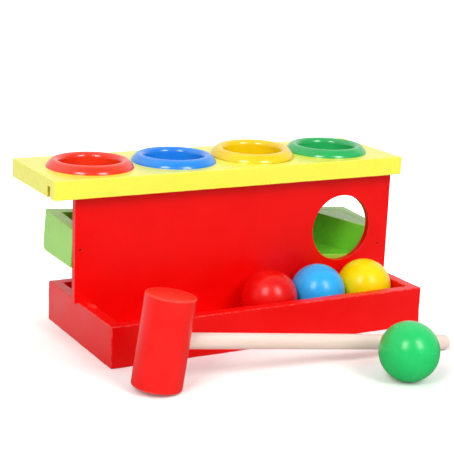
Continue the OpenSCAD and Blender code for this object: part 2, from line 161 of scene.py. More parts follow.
class Recipe:
    """The nodes of a material or of the world, laid down one at a time."""

    def __init__(self, owner: bpy.types.ID, shader: str = "Principled BSDF") -> None:
        """Start with a plain shader.

        Args:
            owner: The material or the world.
            shader: Name of its shader.
        """
        self.owner = owner
        owner.use_nodes = True
        self.tree = owner.node_tree
        self.shader = self.tree.nodes[shader]
        self.where = self.add("ShaderNodeTexCoord").outputs

    def add(self, kind: str, values: Values | None = None, **settings: str) -> bpy.types.Node:
        """Add a node.

        Args:
            kind: The node's type.
            values: Values of its inputs, by name or number.
            settings: The node's own settings, by name.

        Returns:
            The node.
        """
        node = self.tree.nodes.new(kind)
        for name, setting in settings.items():
            setattr(node, name, setting)
        self.set(values or {}, node)
        return node

    def set(self, values: Values, node: bpy.types.Node | None = None) -> None:
        """Set inputs to values, and link them to sockets.

        Args:
            values: The values and sockets, by the inputs' names or numbers.
            node: The node that has the inputs; the shader, if none is given.
        """
        inputs = (node or self.shader).inputs
        for name, value in values.items():
            if isinstance(value, Socket):
                self.tree.links.new(value, inputs[name])
            else:
                inputs[name].default_value = value

    def mark(self, name: str) -> Socket:
        """A face attribute of the piece, as a number."""
        return self.add("ShaderNodeAttribute", attribute_name=name).outputs["Fac"]

    def noise(self, scale: float, detail: float = 2.0, stretch: Sequence[float] = (1, 1, 1)) -> Socket:
        """A cloudy pattern that differs from piece to piece.

        Args:
            scale: Features per metre.
            detail: Octaves of finer detail.
            stretch: Share of the scale along each of the piece's own axes.

        Returns:
            The pattern, about 0.5.
        """
        spot = self.add("ShaderNodeMapping", {"Vector": self.where["Object"], "Scale": stretch}).outputs[0]
        seed = self.sum(self.add("ShaderNodeObjectInfo").outputs["Random"], 0.0, SEEDS)
        values = {"Vector": spot, "W": seed, "Scale": scale, "Detail": detail}
        return self.add("ShaderNodeTexNoise", values, noise_dimensions="4D").outputs["Fac"]

    def sum(self, first: object, second: object, share: object = 1.0) -> Socket:
        """First times share, plus second."""
        values = {0: first, 1: share, 2: second}
        return self.add("ShaderNodeMath", values, operation="MULTIPLY_ADD").outputs[0]

    def times(self, first: object, second: object) -> Socket:
        """The product of two values."""
        return self.sum(first, 0.0, second)

    def remap(self, value: Socket, source: Point, target: Sequence[object]) -> Socket:
        """Map a value from one range to another, held at its ends."""
        ends = zip(("From Min", "From Max", "To Min", "To Max"), (*source, *target))
        return self.add("ShaderNodeMapRange", {"Value": value, **dict(ends)}).outputs[0]

    def ramp(self, value: Socket, places: Point, codes: Sequence[str]) -> Socket:
        """A colour that turns from one to another along a value.

        Args:
            value: The value.
            places: Where the turn starts and ends.
            codes: The two colours.

        Returns:
            The colour.
        """
        node = self.add("ShaderNodeValToRGB", {"Fac": value})
        for element, place, code in zip(node.color_ramp.elements, places, codes):
            element.position = place
            element.color = linear(code)
        return node.outputs["Color"]

    def blend(self, share: Socket, first: object, second: object) -> Socket:
        """Mix two colours by a share from 0 to 1."""
        return self.add("ShaderNodeMix", {0: share, 6: first, 7: second}, data_type="RGBA").outputs[2]

    def relief(self, height: Socket, depth: float, under: Socket | None = None) -> Socket:
        """Raise a surface by a pattern.

        Args:
            height: The pattern, from 0 to 1.
            depth: The height of a full step, in metres.
            under: The relief that it lies on, if any.

        Returns:
            The bent normal.
        """
        values = {"Height": height, "Distance": depth, "Strength": 1.0}
        if under is not None:
            values["Normal"] = under
        return self.add("ShaderNodeBump", values).outputs["Normal"]


@dataclass(frozen=True)
class Paint:
    """Satin paint brushed on a sawn board, thinner where the edges are eased, and darker in cuts and hollows
    as painted shade.
    """

    slot: str
    colour: str
    deep: str
    thin: str
    # Darker colour of the walls of holes, grooves and hollows: painted shade
    cut: str
    roughness: float = 0.34
    shine: float = 0.5
    # Tint of what the paint mirrors when it is seen straight on
    tint: str = "#FFFFFF"

    @cache
    def material(self) -> Material:
        """Make the paint's material.

        Returns:
            The material, with the wood's fibres along each board's own length.
        """
        recipe = Recipe(bpy.data.materials.new(self.slot))
        clouds = recipe.noise(38.0, 3.0)
        fibres = recipe.noise(650.0, 2.0, (0.03, 1.0, 1.0))
        peel = recipe.noise(700.0, 2.0)
        crumbs = recipe.noise(420.0, 3.0)
        body = recipe.ramp(clouds, (0.3, 0.6), (self.deep, self.colour))
        edge = recipe.mark(EASED)
        # Pale thin paint on worn eased edges, and on paint globs as a painted highlight
        worn_and_highlit = recipe.times(edge, recipe.remap(crumbs, (0.42, 0.62), (0.0, 0.75)))
        surface = recipe.blend(worn_and_highlit, body, linear(self.thin))
        relief = recipe.relief(fibres, 0.035 * MM)
        relief = recipe.relief(peel, 0.03 * MM, relief)
        relief = recipe.relief(recipe.times(crumbs, edge), 0.2 * MM, relief)
        recipe.set({
            # Walls of cuts and hollows take the cut colour: painted shade
            "Base Color": recipe.blend(recipe.mark(SHADE_IN_CUTS), surface, linear(self.cut)),
            "Roughness": recipe.remap(clouds, CLOUDY, (self.roughness - 0.05, self.roughness + 0.06)),
            "Specular IOR Level": self.shine,
            "Specular Tint": linear(self.tint),
            "Normal": relief,
        })
        return recipe.owner


@dataclass(frozen=True)
class Lacquer:
    """Lacquer over turned wood, with the end grain showing through on flat ends and thin rounded edges."""

    slot: str
    colour: str
    deep: str
    thin: str = "#FFFFFF"
    roughness: float = 0.25
    shine: float = 0.5
    end_grain: bool = False

    @cache
    def material(self) -> Material:
        """Make the lacquer's material.

        Returns:
            The material, with the turned piece's axis along its own Z.
        """
        recipe = Recipe(bpy.data.materials.new(self.slot))
        clouds = recipe.noise(60.0, 2.0)
        waves = recipe.noise(170.0, 1.0)
        peel = recipe.noise(900.0, 2.0)
        colour = recipe.ramp(clouds, (0.3, 0.62), (self.deep, self.colour))
        relief = recipe.relief(waves, 0.022 * MM)
        relief = recipe.relief(peel, 0.01 * MM, relief)
        if self.end_grain:
            rings = self.growth_rings(recipe)
            colour = recipe.blend(rings, colour, linear(self.deep))
            colour = recipe.blend(recipe.times(recipe.mark(EASED), 0.6), colour, linear(self.thin))
            relief = recipe.relief(rings, 0.08 * MM, relief)
        recipe.set({
            "Base Color": colour,
            "Roughness": recipe.remap(clouds, CLOUDY, (self.roughness - 0.03, self.roughness + 0.05)),
            "Specular IOR Level": self.shine,
            "Normal": relief,
        })
        return recipe.owner

    def growth_rings(self, recipe: Recipe) -> Socket:
        """Arcs of growth rings on flat ends.

        Args:
            recipe: The material that they belong to.

        Returns:
            The arcs' pattern.
        """
        off_centre = {"Vector": recipe.where["Object"], "Location": (0.03, 0.022, 0.0)}
        spot = recipe.add("ShaderNodeMapping", off_centre).outputs[0]
        values = {"Vector": spot, "Scale": 90.0, "Distortion": 3.0, "Detail": 3.0, "Detail Scale": 1.2}
        arcs = recipe.add("ShaderNodeTexWave", values, wave_type="RINGS", rings_direction="Z")
        upright = recipe.add("ShaderNodeSeparateXYZ", {0: recipe.where["Normal"]}).outputs["Z"]
        flat = recipe.remap(recipe.times(upright, upright), (0.6, 0.9), (0.0, 0.8))
        return recipe.times(arcs.outputs["Fac"], flat)


@dataclass(frozen=True)
class Plastic:
    """Glossy moulded plastic with faint flow marks."""

    slot: str
    colour: str
    deep: str
    roughness: float = 0.2
    shine: float = 0.85

    @cache
    def material(self) -> Material:
        """Make the plastic's material.

        Returns:
            The material.
        """
        recipe = Recipe(bpy.data.materials.new(self.slot))
        flow = recipe.noise(55.0, 2.0, (1.0, 1.0, 2.5))
        skin = recipe.noise(240.0, 2.0)
        recipe.set({
            "Base Color": recipe.ramp(flow, (0.3, 0.65), (self.deep, self.colour)),
            "Roughness": recipe.remap(skin, CLOUDY, (self.roughness - 0.03, self.roughness + 0.04)),
            "Specular IOR Level": self.shine,
            "Normal": recipe.relief(skin, 0.008 * MM, recipe.relief(flow, 0.05 * MM)),
        })
        return recipe.owner


@dataclass(frozen=True)
class BareWood:
    """Sanded pale wood with fine fibres along the piece's own Z."""

    slot: str
    pale: str
    warm: str
    fleck: str

    @cache
    def material(self) -> Material:
        """Make the wood's material.

        Returns:
            The material.
        """
        recipe = Recipe(bpy.data.materials.new(self.slot))
        bands = recipe.noise(190.0, 2.0, (1.0, 1.0, 0.03))
        fibres = recipe.noise(900.0, 3.0, (1.0, 1.0, 0.03))
        pores = recipe.noise(1500.0, 2.0, (1.0, 1.0, 0.05))
        wood = recipe.ramp(bands, (0.32, 0.62), (self.warm, self.pale))
        flecks = recipe.remap(pores, (0.6, 0.72), (0.0, 0.5))
        recipe.set({
            "Base Color": recipe.blend(flecks, wood, linear(self.fleck)),
            "Roughness": recipe.remap(fibres, CLOUDY, (0.5, 0.66)),
            "Specular IOR Level": 0.3,
            "Normal": recipe.relief(fibres, 0.05 * MM),
        })
        return recipe.owner


@dataclass(frozen=True)
class Steel:
    """Dull steel wire, a little stained, in dark colours that paint the shade of the pits the nails are sunk
    in.
    """

    slot: str
    colour: str
    stain_and_shade: str

    @cache
    def material(self) -> Material:
        """Make the steel's material.

        Returns:
            The material.
        """
        recipe = Recipe(bpy.data.materials.new(self.slot))
        stains = recipe.noise(900.0, 3.0)
        recipe.set({
            "Base Color": recipe.ramp(stains, (0.35, 0.6), (self.stain_and_shade, self.colour)),
            "Roughness": recipe.remap(stains, CLOUDY, (0.3, 0.55)),
            "Metallic": 1.0,
            "Normal": recipe.relief(stains, 0.02 * MM),
        })
        return recipe.owner


# Every finish on the toy
Finish = Paint | Lacquer | Plastic | BareWood | Steel
# The last colour of each paint is painted shade for the walls of its holes, grooves and hollows
RED_PAINT = Paint("red_paint", "#F20403", "#EC0302", "#FD5048", "#D40402", tint="#FFA8A8")
YELLOW_PAINT = Paint("yellow_paint", "#FDFA4A", "#FBF540", "#FDF96A", "#CCBC30", roughness=0.26, shine=0.9)
GREEN_PAINT = Paint("green_paint", "#9ADC46", "#90D43C", "#9CD650", "#6CCA2A", roughness=0.28, shine=1.0)
RED_PLASTIC = Plastic("red_plastic", "#F83A12", "#F22C0C")
BLUE_PLASTIC = Plastic("blue_plastic", "#2492F4", "#1A84EE")
YELLOW_PLASTIC = Plastic("yellow_plastic", "#FDD804", "#FBCA00")
GREEN_PLASTIC = Plastic("green_plastic", "#28BC66", "#1EAC58")
RED_LACQUER = Lacquer("red_lacquer", "#E80E0A", "#E00806", shine=0.4)
BLUE_LACQUER = Lacquer("blue_lacquer", "#2EB6FC", "#24A8F8")
YELLOW_LACQUER = Lacquer("yellow_lacquer", "#FEE000", "#FCD800", shine=0.3)
GREEN_LACQUER = Lacquer("green_lacquer", "#20CE6C", "#18C460")
MALLET_LACQUER = Lacquer(
    "red_lacquer", "#FA1610", "#F4120C", "#FF4A40", roughness=0.3, shine=0.35, end_grain=True,
)
BARE_WOOD = BareWood("bare_wood", "#F3DED3", "#EACFC0", "#CFAA94")
# Dark red-brown nail heads: painted shade of the pits that they are sunk in
STEEL = Steel("steel", "#7A3A36", "#3E1210")


def dress(piece: Piece, node: str, finish: Finish, body: str = "bench") -> None:
    """Give a piece its finish, and let it stand for a node.

    Args:
        piece: The piece, in its place.
        node: The node that it stands for.
        finish: Its finish.
        body: The body that carries it.
    """
    piece.data.materials.append(finish.material())
    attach(piece, body)
    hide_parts(node)
    LOG.info("%s stands for %s on %s", piece.name, node, body)


def as_piece(name: str, bm: Mesh, place: Matrix) -> Piece:
    """Turn a mesh into a piece that stands in its place.

    Args:
        name: The piece's name.
        bm: The mesh, in the piece's own frame; it is used up.
        place: The matrix from that frame to the piece's place.

    Returns:
        The piece.
    """
    bmesh.ops.recalc_face_normals(bm, faces=bm.faces)
    mesh = bpy.data.meshes.new(name)
    bm.to_mesh(mesh)
    bm.free()
    mesh.polygons.foreach_set("use_smooth", [True] * len(mesh.polygons))
    mesh.set_sharp_from_angle(angle=SHARP_ANGLE)
    piece = bpy.data.objects.new(name, mesh)
    bpy.context.scene.collection.objects.link(piece)
    piece.matrix_world = place
    return piece


@dataclass
class Hole:
    """A round hole through a board, in the board's own U and V."""

    centre: Point
    radius: float
    sides: int = 96

    def points(self) -> list[Point]:
        """The hole's outline, anticlockwise from its left."""
        return arc(self.centre, self.radius, 180.0, 540.0, self.sides)[:-1]


@dataclass
class Board:
    """A board sawn to an outline and drilled, with eased edges.

    The outline lies in the board's own U and V, and its thickness runs along W.
    """

    name: str
    outline: list[Point]
    thickness: float
    ease: float
    holes: list[Hole] = field(default_factory=list)
    sanding: float = 0.1 * MM
    # A plane that the board is trimmed to: a point on it, and the way to the offcut
    trim: tuple[Vector, Vector] | None = None
    # The middle of the hollow that the board walls in, whose faces count as sawn and get the painted shade of
    # cuts
    hollow: Vector | None = None
    # Globs of dried paint on the board: the middle and the half lengths of each
    globs: list[tuple[Vector, Vector]] = field(default_factory=list)

    def stepped(self) -> list[Point]:
        """Divide the outline's straight runs.

        Returns:
            The outline's points, at short steps.
        """
        points = []
        for start, end in zip(self.outline, self.outline[1:] + self.outline[:1]):
            steps = max(1, round(math.dist(start, end) / OUTLINE_STEP))
            for i in range(steps):
                points.append(tuple(a + (b - a) * (i / steps) for a, b in zip(start, end)))
        return points

    def halves(self, outer: list[Point]) -> list[list[tuple[int, int]]]:
        """Split the face by a cut from end to end through the holes.

        Args:
            outer: The outline's points, anticlockwise.

        Returns:
            Each half as (loop, point) pairs, where loop 0 is the outline and the holes follow.
        """
        count = len(outer)
        if not self.holes:
            return [[(0, i) for i in range(count)]]
        left_end = (min(p[0] for p in outer), self.holes[0].centre[1])
        right_end = (max(p[0] for p in outer), self.holes[-1].centre[1])
        left = min(range(count), key=lambda i: math.dist(outer[i], left_end))
        right = min(range(count), key=lambda i: math.dist(outer[i], right_end))
        lower = [(0, (left + i) % count) for i in range((right - left) % count + 1)]
        upper = [(0, (right + i) % count) for i in range((left - right) % count + 1)]
        for loop, hole in reversed(list(enumerate(self.holes, 1))):
            lower += [(loop, i) for i in range(hole.sides // 2, -1, -1)]
        for loop, hole in enumerate(self.holes, 1):
            upper += [(loop, i % hole.sides) for i in range(hole.sides, hole.sides // 2 - 1, -1)]
        return [lower, upper]

    def raw(self) -> Mesh:
        """Saw and drill the board.

        Returns:
            The board's mesh, with square edges.
        """
        bm = bmesh.new()
        sawn = bm.faces.layers.float.new(SHADE_IN_CUTS)
        outer = self.stepped()
        loops = [outer] + [hole.points() for hole in self.holes]
        low = [[bm.verts.new((u, v, 0.0)) for u, v in loop] for loop in loops]
        high = [[bm.verts.new((u, v, self.thickness)) for u, v in loop] for loop in loops]
        # The walls of the holes are marked to take the cut colour, a painted shade
        for number, (below, above) in enumerate(zip(low, high)):
            for i, vert in enumerate(below):
                face = bm.faces.new((below[i - 1], vert, above[i], above[i - 1]))
                face[sawn] = float(number > 0)
        for half in self.halves(outer):
            bm.faces.new([high[loop][i] for loop, i in half])
            bm.faces.new([low[loop][i] for loop, i in reversed(half)])
        if self.trim is not None:
            whole = [*bm.verts, *bm.edges, *bm.faces]
            spot, outwards = self.trim
            plane = {"plane_co": spot, "plane_no": outwards}
            trimmed = bmesh.ops.bisect_plane(bm, geom=whole, clear_outer=True, **plane)
            rim = [item for item in trimmed["geom_cut"] if isinstance(item, bmesh.types.BMEdge)]
            bmesh.ops.edgeloop_fill(bm, edges=rim)
        bmesh.ops.recalc_face_normals(bm, faces=bm.faces)
        # Faces that look into the hollow are marked for the cut colour, a painted shade
        if self.hollow is not None:
            for face in bm.faces:
                face[sawn] = float((self.hollow - face.calc_center_median()).dot(face.normal) > 0)
        return bm

    def grooved(self, bm: Mesh, grooves: Sequence[tuple[Vector, Vector]]) -> Mesh:
        """Cut square grooves.

        Args:
            bm: The board's mesh; it is used up.
            grooves: The lowest and highest corner of each groove, in the board's own frame.

        Returns:
            The board's mesh with its grooves.
        """
        cutters = bmesh.new()
        for low, high in grooves:
            shape = Matrix.Translation((low + high) / 2) @ Matrix.Diagonal((*(high - low), 1.0))
            bmesh.ops.create_cube(cutters, size=1.0, matrix=shape)
        blank = as_piece(self.name + "_blank", bm, Matrix())
        tool = as_piece(self.name + "_tool", cutters, Matrix())
        cut = blank.modifiers.new("grooves", "BOOLEAN")
        cut.object = tool
        cut.solver = "EXACT"
        graph = bpy.context.evaluated_depsgraph_get()
        result = bmesh.new()
        result.from_mesh(blank.evaluated_get(graph).to_mesh())
        sawn = result.faces.layers.float[SHADE_IN_CUTS]
        # The groove walls are marked for the cut colour, a painted shade
        for face in result.faces:
            for low, high in grooves:
                sides = [side for vert in face.verts for side in zip(low, vert.co, high)]
                if all(a - SLACK <= spot <= b + SLACK for a, spot, b in sides):
                    face[sawn] = 1.0
        for spare in (blank, tool):
            bpy.data.objects.remove(spare)
        return result

    def build(self, place: Matrix, grooves: Sequence[tuple[Vector, Vector]] = ()) -> Piece:
        """Make the board.

        Args:
            place: The matrix from the board's own frame to its place.
            grooves: Grooves to cut, in the board's own frame.

        Returns:
            The board's piece.
        """
        bm = self.raw()
        if grooves:
            bm = self.grooved(bm, grooves)
        mark = bm.faces.layers.float.new(EASED)
        sawn = bm.faces.layers.float[SHADE_IN_CUTS]
        edges = [e for e in bm.edges if e.is_manifold and e.calc_face_angle() > SHARP_ANGLE]
        eased = bmesh.ops.bevel(
            bm, geom=edges, offset=self.ease, offset_type="OFFSET", segments=EASE_STEPS, profile=0.5,
            affect="EDGES", clamp_overlap=True,
        )
        for face in eased["faces"]:
            face[mark] = 1.0
            face[sawn] = 0.0
        for spot, half in self.globs:
            shape = Matrix.Translation(spot) @ Matrix.Diagonal((*half, 1.0))
            steps = {"u_segments": GLOB_SIDES, "v_segments": GLOB_SIDES // 2}
            glob = bmesh.ops.create_uvsphere(bm, radius=1.0, matrix=shape, **steps)
            for vert in glob["verts"]:
                # Glob faces count as eased, so they take the pale worn paint: a painted highlight on the glob
                for face in vert.link_faces:
                    face[mark] = 1.0
        # The name picks the pattern of what sanding leaves
        shift = Vector((sum(map(ord, self.name)), 0.0, 0.0))
        for vert in bm.verts:
            vert.co += self.sanding * noise.noise_vector(vert.co * WOBBLE_SCALE + shift)
        piece = as_piece(self.name, bm, place)
        piece.modifiers.new("flat_faces", "WEIGHTED_NORMAL").keep_sharp = True
        return piece


def box_board(node: str, low: Vector, high: Vector, facing: Facing, ease: float) -> tuple[Board, Matrix]:
    """A plain rectangular board, from its lowest to its highest corner, and its place."""
    length, width, thickness = facing.spans(high - low)
    return Board("finished_" + node, rectangle(length, width), thickness, ease), facing.place(low, high)


@dataclass
class Turning:
    """A profile turned about its own Z, as on a lathe or in a round mould."""

    # (radius, height) points, in order
    profile: Sequence[Point]
    sides: int = 128
    # True if the profile's last point joins its first
    ring: bool = False

    def add(self, bm: Mesh, place: Matrix) -> None:
        """Add the turning to a mesh.

        Args:
            bm: The mesh.
            place: The matrix from the turning's own frame to the mesh's.
        """
        loops = []
        for radius, height in self.profile:
            count = self.sides if radius > 0 else 1
            angles = [2 * math.pi * i / self.sides for i in range(count)]
            spots = [Vector((radius * math.cos(a), radius * math.sin(a), height)) for a in angles]
            loops.append([bm.verts.new(place @ spot) for spot in spots])
        if self.ring:
            loops.append(loops[0])
        for below, above in zip(loops, loops[1:]):
            for i in range(self.sides):
                corners = [below[i - 1], below[i]] if len(below) > 1 else [below[0]]
                corners += [above[i], above[i - 1]] if len(above) > 1 else [above[0]]
                bm.faces.new(corners)

    def build(self, node: str, place: Matrix, roll: Matrix = Matrix()) -> Piece:
        """Make a piece.

        Args:
            node: The node that it stands for.
            place: The matrix from the piece's own frame to its place.
            roll: The matrix from the turning's own frame to the piece's.

        Returns:
            The piece.
        """
        bm = bmesh.new()
        self.add(bm, roll)
        return as_piece("finished_" + node, bm, place)


@dataclass
class Tray:
    """The red tray: four walls, butted at the corners, and a floor between them."""

    ease: float = 0.8 * MM
    # How far a butted end reaches into its neighbour, so that only a faint joint line shows
    lap: float = 1.0 * MM
    sanding: float = 0.3 * MM
    # A glob of dried paint on the left wall's rim: its middle, and its half lengths along Y, Z and X
    glob: Spot = (-132.4 * MM, -11.5 * MM, 32.5 * MM)
    glob_half: Spot = (6.5 * MM, 1.0 * MM, 3.0 * MM)

    def build(self) -> None:
        """Make the tray's five boards."""
        deeper = Vector((0.0, self.lap, 0.0))
        boards = {
            "tray_front_wall": (Facing.FRONT, Vector()),
            "tray_back_wall": (Facing.FRONT, Vector()),
            "tray_left_wall": (Facing.SIDE, deeper),
            "tray_right_wall": (Facing.SIDE, deeper),
            "tray_floor": (Facing.UP, Vector((self.lap, self.lap, 0.0))),
        }
        for node, (facing, reach) in boards.items():
            low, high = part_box(node)
            board, place = box_board(node, low - reach, high + reach, facing, self.ease)
            board.sanding = self.sanding
            if node == "tray_left_wall":
                board.globs.append((place.inverted() @ Vector(self.glob), Vector(self.glob_half)))
            dress(board.build(place), node, RED_PAINT)


@dataclass
class FrontPanel:
    """The red front panel, with ears over the tray's end walls and the round exit hole."""

    ease: float = 0.35 * MM
    foot_play: float = 0.2 * MM
    exit_from_end: float = 47.4 * MM
    exit_height: float = 71.849 * MM
    exit_radius: float = 28 * MM
    # Paint has run into the pits over the nails
    pit_radius: float = 0.95 * MM
    pit_sides: int = 16
    nail_head_radius: float = 1.3 * MM

    def build(self) -> None:
        """Make the panel, drilled for the exit and for its two nails."""
        low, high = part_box("front_panel")
        length, height = high.x - low.x, high.z - low.z
        left_wall, right_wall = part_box("tray_left_wall")[1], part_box("tray_right_wall")[0]
        foot_left = left_wall.x + self.foot_play - low.x
        foot_right = right_wall.x - self.foot_play - low.x
        ear = left_wall.z - low.z
        outline = [
            (foot_left, 0.0), (foot_right, 0.0), (foot_right, ear), (length, ear),
            (length, height), (0.0, height), (0.0, ear), (foot_left, ear),
        ]
        nails_low, nails_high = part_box("trough_nails")
        inset = self.nail_head_radius
        left_pit = (nails_low.x + inset - low.x, nails_high.z - inset - low.z)
        right_pit = (nails_high.x - inset - low.x, nails_low.z + inset - low.z)
        holes = [
            Hole(left_pit, self.pit_radius, self.pit_sides),
            Hole((length - self.exit_from_end, self.exit_height - low.z), self.exit_radius),
            Hole(right_pit, self.pit_radius, self.pit_sides),
        ]
        board = Board("finished_front_panel", outline, high.y - low.y, self.ease, holes)
        piece = board.build(Facing.FRONT.place(low, high))
        dress(piece, "front_panel", RED_PAINT)


@dataclass
class RearBoard:
    """The red board behind the trough that carries the back of the top."""

    ease: float = 0.5 * MM

    def build(self) -> None:
        """Make the board."""
        low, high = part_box("rear_board")
        board, place = box_board("rear_board", low, high, Facing.FRONT, self.ease)
        dress(board.build(place), "rear_board", RED_PAINT)


@dataclass
class Trough:
    """The green sloping trough: two ends, a back, a floor and the deflector block."""

    wall: float = 10 * MM
    floor: float = 5 * MM
    height: float = 33 * MM
    corner_radius: float = 6 * MM
    corner_steps: int = 8
    deflector_back: float = 34.5 * MM
    deflector_front: float = 7 * MM
    # Fall of the rim towards the front panel, in degrees, and what is left to trim off above it
    rim_fall: float = 3.4
    spare: float = 1 * MM
    ease: float = 0.5 * MM
    lap: float = 0.7 * MM

    def __post_init__(self) -> None:
        """Read the trough's own frame and extents off its two ends."""
        left, right = middle("trough_left_end"), middle("trough_right_end")
        run = right - left
        self.frame = Matrix.Translation((left + right) / 2)
        self.frame.translation.y = 0.0
        self.frame = self.frame @ Matrix.Rotation(math.atan2(-run.z, run.x), 4, "Y")
        self.half = (run.length + self.wall) / 2
        self.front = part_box("trough_floor")[0].y
        self.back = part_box("trough_back_wall")[1].y
        self.low = -self.height / 2
        self.bed = self.low + self.floor

    def build(self) -> None:
        """Make the trough's five boards."""
        front, low, inner_back = self.front, self.low, self.back - self.wall
        inner, rim = self.half - self.wall, self.height / 2 + self.spare
        lapped = inner + self.lap
        bed = Vector((-lapped, front, low)), Vector((lapped, inner_back + self.lap, self.bed))
        back_wall = Vector((-lapped, inner_back, low)), Vector((lapped, self.back, rim))
        boards = {
            "trough_floor": box_board("trough_floor", *bed, Facing.UP, self.ease),
            "trough_back_wall": box_board("trough_back_wall", *back_wall, Facing.FRONT, self.ease),
        }
        depth, top, radius = self.back - front, self.height + self.spare, self.corner_radius
        round_corner = arc((depth - radius, radius), radius, -90.0, 0.0, self.corner_steps)
        end = [(0.0, 0.0), *round_corner, (depth, top), (0.0, top)]
        right, slant = self.deflector_back, self.deflector_back - self.deflector_front
        block = [(slant, 0.0), (right, 0.0), (right, inner_back - front), (0.0, inner_back - front)]
        shaped = {
            "trough_left_end": (Facing.SIDE, end, self.wall, (-self.half, front, low)),
            "trough_right_end": (Facing.SIDE, end, self.wall, (inner, front, low)),
            "deflector_block": (Facing.UP, block, self.height - self.floor, (inner - right, front, self.bed)),
        }
        for node, (facing, outline, thickness, corner) in shaped.items():
            board = Board("finished_" + node, outline, thickness, self.ease)
            boards[node] = (board, facing.place(corner, corner))
        fall = math.radians(self.rim_fall)
        for node, (board, place) in boards.items():
            back = place.inverted()
            outwards = back.to_3x3() @ Vector((0.0, -math.sin(fall), math.cos(fall)))
            board.trim = (back @ Vector((0.0, self.back, self.height / 2)), outwards)
            # The trough's inner faces get the darker cut colour, a painted shade
            board.hollow = back @ Vector((0.0, (front + self.back) / 2, 0.0))
            piece = board.build(self.frame @ place)
            dress(piece, node, GREEN_PAINT)


@dataclass
class TopBoard:
    """The thick yellow top, with a hole for each ring and grooves for the two uprights."""

    ring_centres: Sequence[Vector]
    ease: float = 0.6 * MM
    hole_radius: float = 27 * MM
    groove_play: float = 0.1 * MM
    # How far a groove's cut runs out past the board's faces
    run_out: float = 5 * MM

    def build(self) -> None:
        """Make the top board."""
        low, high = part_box("top_board")
        board, place = box_board("top_board", low, high, Facing.UP, self.ease)
        board.holes = [Hole((c.x - low.x, c.y - low.y), self.hole_radius) for c in self.ring_centres]
        play = Vector((self.groove_play,) * 3)
        grooves = []
        for node in ("front_panel", "rear_board"):
            start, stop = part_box(node)
            start, stop = start - play - low, stop + play - low
            start.z = -self.run_out
            # The front panel's groove runs out at both ends
            if node == "front_panel":
                start.x = -self.run_out
                stop.x = high.x - low.x + self.run_out
            grooves.append((start, stop))
        dress(board.build(place, grooves), "top_board", YELLOW_PAINT)


def row_centres(nodes: Sequence[str]) -> list[Vector]:
    """Middles of a row of rings, spread evenly from the first to the last."""
    first, last = middle(nodes[0]), middle(nodes[-1])
    return [first.lerp(last, i / (len(nodes) - 1)) for i in range(len(nodes))]


@dataclass
class Ring:
    """One moulded ring: a sloping flange round its mouth, and a sleeve that narrows to the lip."""

    node: str
    finish: Plastic
    centre: Vector
    # Lift of one side of the ring about the opposite point of its rim, in degrees
    lift: float = 0.0
    # Turn of the lifted side from straight back towards the right, in degrees
    lift_turn: float = 31.0
    flange: float = 10.6 * MM
    height: float = 6.2 * MM
    edge_radius: float = 5.5 * MM
    # Lean of the flank from upright where it meets the top board, in degrees
    edge_lean: float = 12.0
    crest_radius: float = 4.2 * MM
    sleeve: float = 2.7 * MM
    draft: float = 0.6 * MM
    taper: float = 2 * MM
    tail: float = 3 * MM
    sides: int = 160
    edge_steps: int = 10
    crest_steps: int = 12

    def profile(self, rim: float, foot: float) -> list[Point]:
        """Half of the ring cut through its axis, with heights from the top board's face.

        Args:
            rim: Radius of the flange's rim.
            foot: Height of the sleeve's foot.

        Returns:
            The profile, anticlockwise from the lip.
        """
        mouth = rim - self.flange
        outside = mouth + self.sleeve
        foot_lean = math.radians(self.edge_lean)
        edge = (rim - self.edge_radius * math.cos(foot_lean), -self.edge_radius * math.sin(foot_lean))
        crest = (mouth + self.crest_radius, self.height - self.crest_radius)
        run = (crest[0] - edge[0], crest[1] - edge[1])
        turn = math.acos((self.edge_radius - self.crest_radius) / math.hypot(*run))
        lean = math.degrees(math.atan2(run[1], run[0]) - turn)
        return [
            (mouth - self.taper, foot), (outside - self.draft, foot), (outside, 0.0),
            *arc(edge, self.edge_radius, self.edge_lean, lean, self.edge_steps),
            *arc(crest, self.crest_radius, lean, 180.0, self.crest_steps),
        ]

    def build(self) -> None:
        """Make the ring."""
        low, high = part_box(self.node)
        board_low, board_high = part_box("top_board")
        rim = (high.x - low.x) / 2
        aim = Matrix.Rotation(-math.radians(self.lift_turn), 4, "Z")
        hinge = Matrix.Translation((0.0, -rim, 0.0))
        tip = hinge @ Matrix.Rotation(math.radians(self.lift), 4, "X") @ hinge.inverted()
        seat = Matrix.Translation((self.centre.x, self.centre.y, board_high.z))
        place = seat @ aim @ tip @ aim.inverted()
        profile = self.profile(rim, board_low.z - board_high.z - self.tail)
        piece = Turning(profile, self.sides, ring=True).build(self.node, place)
        dress(piece, self.node, self.finish)


@dataclass
class Ball:
    """A lacquered ball, turned with a small flat at each pole."""

    node: str
    body: str
    finish: Lacquer
    # Turn of the ball's turning axis, in degrees about X and Y
    roll: Point
    pole_deg: float = 3.0
    steps: int = 72

    def build(self) -> None:
        """Make the ball."""
        low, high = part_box(self.node)
        radius = (high.z - low.z) / 2
        skin = arc((0.0, 0.0), radius, self.pole_deg - 90.0, 90.0 - self.pole_deg, self.steps)
        profile = [(0.0, skin[0][1]), *skin, (0.0, skin[-1][1])]
        across, over = (Matrix.Rotation(math.radians(angle), 4, axis) for axis, angle in zip("XY", self.roll))
        place = Matrix.Translation((low + high) / 2)
        piece = Turning(profile, 2 * self.steps).build(self.node, place, across @ over)
        dress(piece, self.node, self.finish, self.body)


